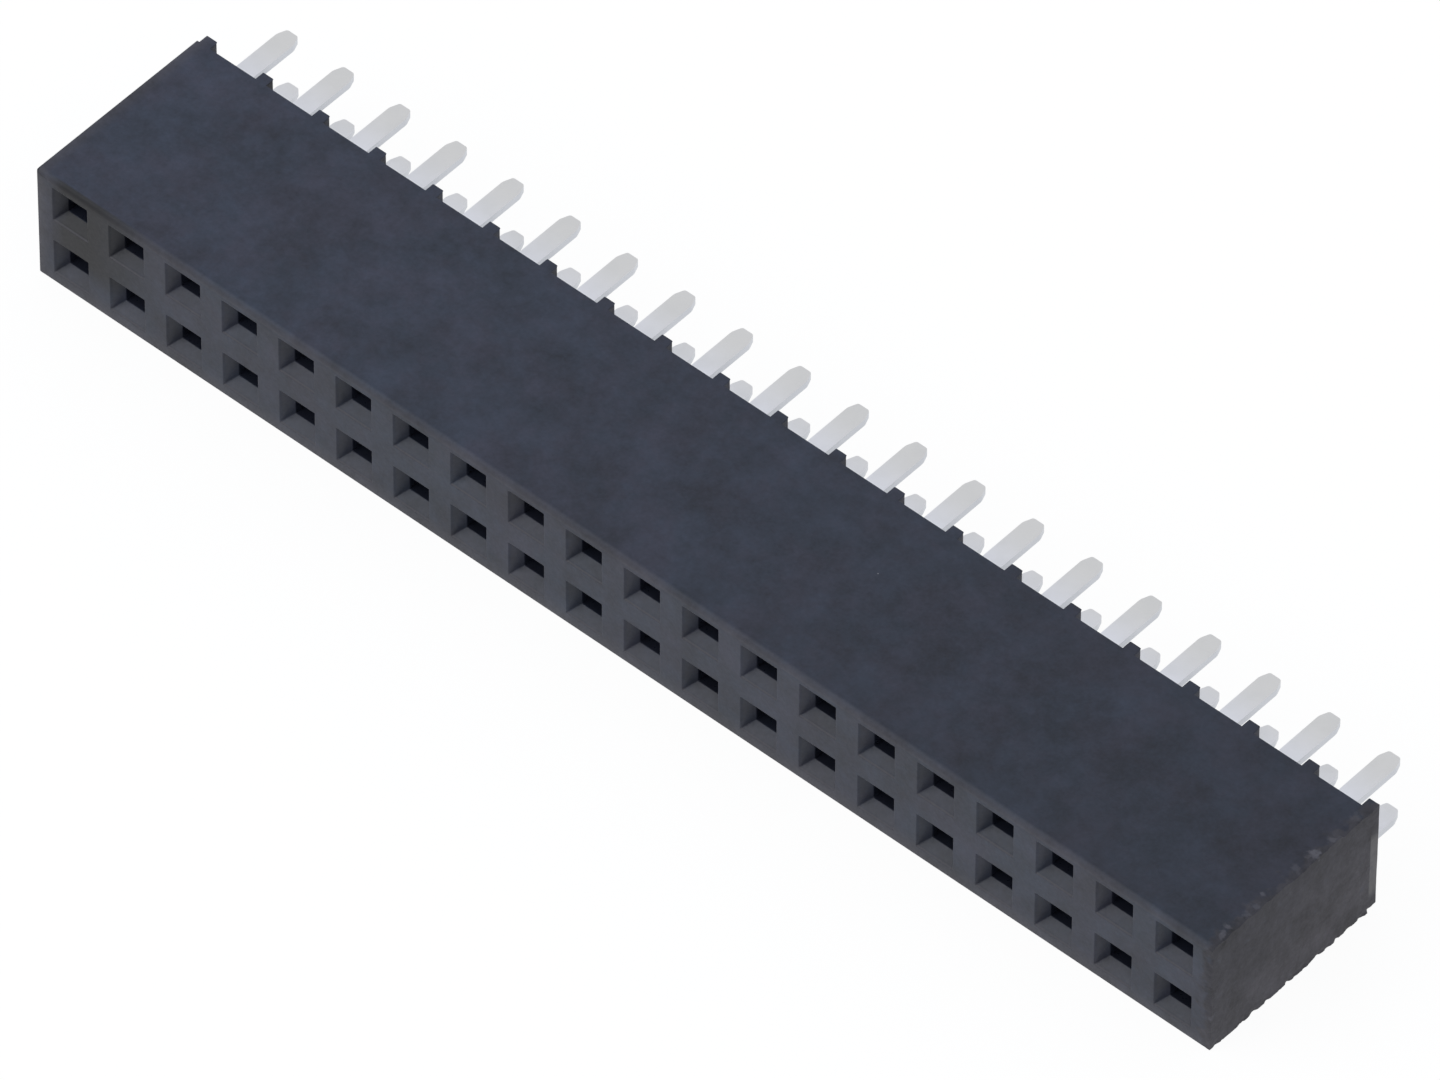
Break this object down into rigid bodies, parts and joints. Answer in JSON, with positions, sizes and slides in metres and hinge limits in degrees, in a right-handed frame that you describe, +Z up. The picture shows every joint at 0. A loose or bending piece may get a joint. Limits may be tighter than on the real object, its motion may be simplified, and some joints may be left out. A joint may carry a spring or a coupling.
{
  "type": "female pin header strip",
  "caption": "Female pin header strip: a black moulded housing with rows of square sockets, standoff ribs on its solder side and flat tin-plated solder tails.",
  "frame": {"origin": "on the surface that the strip lies on, under the middle of its bounding box", "axes": "+X along the strip from its moulded end to its cut end, +Y from the mating face to the solder tails, +Z up, across the rows"},
  "size_m": [0.0514, 0.011, 0.005],
  "materials": {
    "housing": "black glass-filled moulded plastic, satin-matte",
    "contact": "matte tin plating over stamped phosphor bronze"
  },
  "bodies": {
    "root": {"housing": "housing", "contact_a01": "contact", "contact_a02": "contact", "contact_a03": "contact", "contact_a04": "contact", "contact_a05": "contact", "contact_a06": "contact", "contact_a07": "contact", "contact_a08": "contact", "contact_a09": "contact", "contact_a10": "contact", "contact_a11": "contact", "contact_a12": "contact", "contact_a13": "contact", "contact_a14": "contact", "contact_a15": "contact", "contact_a16": "contact", "contact_a17": "contact", "contact_a18": "contact", "contact_a19": "contact", "contact_a20": "contact", "contact_b01": "contact", "contact_b02": "contact", "contact_b03": "contact", "contact_b04": "contact", "contact_b05": "contact", "contact_b06": "contact", "contact_b07": "contact", "contact_b08": "contact", "contact_b09": "contact", "contact_b10": "contact", "contact_b11": "contact", "contact_b12": "contact", "contact_b13": "contact", "contact_b14": "contact", "contact_b15": "contact", "contact_b16": "contact", "contact_b17": "contact", "contact_b18": "contact", "contact_b19": "contact", "contact_b20": "contact"}
  },
  "joints": []
}
